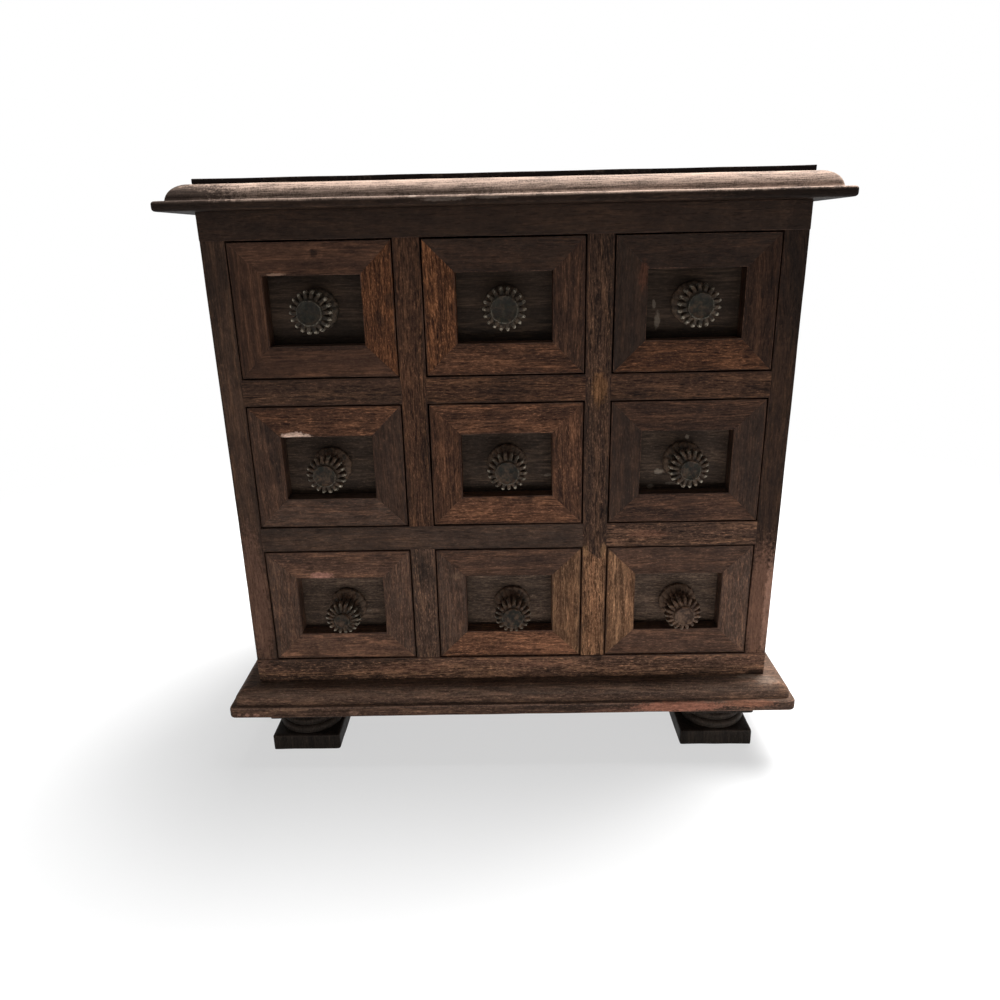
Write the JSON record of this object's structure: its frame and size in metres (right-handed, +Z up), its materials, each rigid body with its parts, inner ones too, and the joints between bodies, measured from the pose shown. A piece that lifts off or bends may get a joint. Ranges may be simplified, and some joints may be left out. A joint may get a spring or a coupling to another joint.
{
  "type": "spice drawer cabinet",
  "caption": "Tabletop chest of small spice drawers in dark hardwood, with moulded top and base, mitred drawer fronts, fluted cast knobs and turned feet.",
  "frame": {"origin": "on the floor under the middle of the chest, at the centre of its footprint", "axes": "+Z up, drawers face -Y, +X is to the right as seen from the front"},
  "size_m": [0.332, 0.212, 0.3303],
  "materials": {
    "moulded_board": "stained hardwood, waxed and worn, dusty on top",
    "top_panel": "blackened board",
    "foot_wood": "blackened turned wood",
    "carcass_wood": "dark stained hardwood",
    "frame_wood": "dark stained hardwood",
    "strip_wood": "dark red-brown stained hardwood, some strips golden",
    "panel_wood": "near-black stained hardwood",
    "back_board": "plain plywood, stained",
    "inner_wood": "bare sawn wood",
    "iron": "rough cast iron with rust and worn edges"
  },
  "bodies": {
    "cabinet": {"base_board": "moulded_board", "top_board": "moulded_board", "top_panel": "top_panel", "feet": "foot_wood", "left_side": "carcass_wood", "right_side": "carcass_wood", "back_panel": "back_board", "shelves": "inner_wood", "partitions": "inner_wood", "top_rail": "frame_wood", "bottom_rail": "frame_wood", "stiles": "frame_wood", "muntins": "frame_wood", "cross_rails": "frame_wood"},
    "top_left_drawer": {"top_left_front_panel": "panel_wood", "top_left_front_strips": "strip_wood", "top_left_box": "inner_wood", "top_left_bottom": "inner_wood", "top_left_knob": "iron"},
    "top_centre_drawer": {"top_centre_front_panel": "panel_wood", "top_centre_front_strips": "strip_wood", "top_centre_box": "inner_wood", "top_centre_bottom": "inner_wood", "top_centre_knob": "iron"},
    "top_right_drawer": {"top_right_front_panel": "panel_wood", "top_right_front_strips": "strip_wood", "top_right_box": "inner_wood", "top_right_bottom": "inner_wood", "top_right_knob": "iron"},
    "middle_left_drawer": {"middle_left_front_panel": "panel_wood", "middle_left_front_strips": "strip_wood", "middle_left_box": "inner_wood", "middle_left_bottom": "inner_wood", "middle_left_knob": "iron"},
    "middle_centre_drawer": {"middle_centre_front_panel": "panel_wood", "middle_centre_front_strips": "strip_wood", "middle_centre_box": "inner_wood", "middle_centre_bottom": "inner_wood", "middle_centre_knob": "iron"},
    "middle_right_drawer": {"middle_right_front_panel": "panel_wood", "middle_right_front_strips": "strip_wood", "middle_right_box": "inner_wood", "middle_right_bottom": "inner_wood", "middle_right_knob": "iron"},
    "bottom_left_drawer": {"bottom_left_front_panel": "panel_wood", "bottom_left_front_strips": "strip_wood", "bottom_left_box": "inner_wood", "bottom_left_bottom": "inner_wood", "bottom_left_knob": "iron"},
    "bottom_centre_drawer": {"bottom_centre_front_panel": "panel_wood", "bottom_centre_front_strips": "strip_wood", "bottom_centre_box": "inner_wood", "bottom_centre_bottom": "inner_wood", "bottom_centre_knob": "iron"},
    "bottom_right_drawer": {"bottom_right_front_panel": "panel_wood", "bottom_right_front_strips": "strip_wood", "bottom_right_box": "inner_wood", "bottom_right_bottom": "inner_wood", "bottom_right_knob": "iron"}
  },
  "joints": [
    {"name": "top_left_drawer_slide", "type": "slide", "parent": "cabinet", "child": "top_left_drawer", "axis": [0, -1, 0], "range_m": [0, 0.125]},
    {"name": "top_centre_drawer_slide", "type": "slide", "parent": "cabinet", "child": "top_centre_drawer", "axis": [0, -1, 0], "range_m": [0, 0.125]},
    {"name": "top_right_drawer_slide", "type": "slide", "parent": "cabinet", "child": "top_right_drawer", "axis": [0, -1, 0], "range_m": [0, 0.125]},
    {"name": "middle_left_drawer_slide", "type": "slide", "parent": "cabinet", "child": "middle_left_drawer", "axis": [0, -1, 0], "range_m": [0, 0.125]},
    {"name": "middle_centre_drawer_slide", "type": "slide", "parent": "cabinet", "child": "middle_centre_drawer", "axis": [0, -1, 0], "range_m": [0, 0.125]},
    {"name": "middle_right_drawer_slide", "type": "slide", "parent": "cabinet", "child": "middle_right_drawer", "axis": [0, -1, 0], "range_m": [0, 0.125]},
    {"name": "bottom_left_drawer_slide", "type": "slide", "parent": "cabinet", "child": "bottom_left_drawer", "axis": [0, -1, 0], "range_m": [0, 0.125]},
    {"name": "bottom_centre_drawer_slide", "type": "slide", "parent": "cabinet", "child": "bottom_centre_drawer", "axis": [0, -1, 0], "range_m": [0, 0.125]},
    {"name": "bottom_right_drawer_slide", "type": "slide", "parent": "cabinet", "child": "bottom_right_drawer", "axis": [0, -1, 0], "range_m": [0, 0.125]}
  ]
}
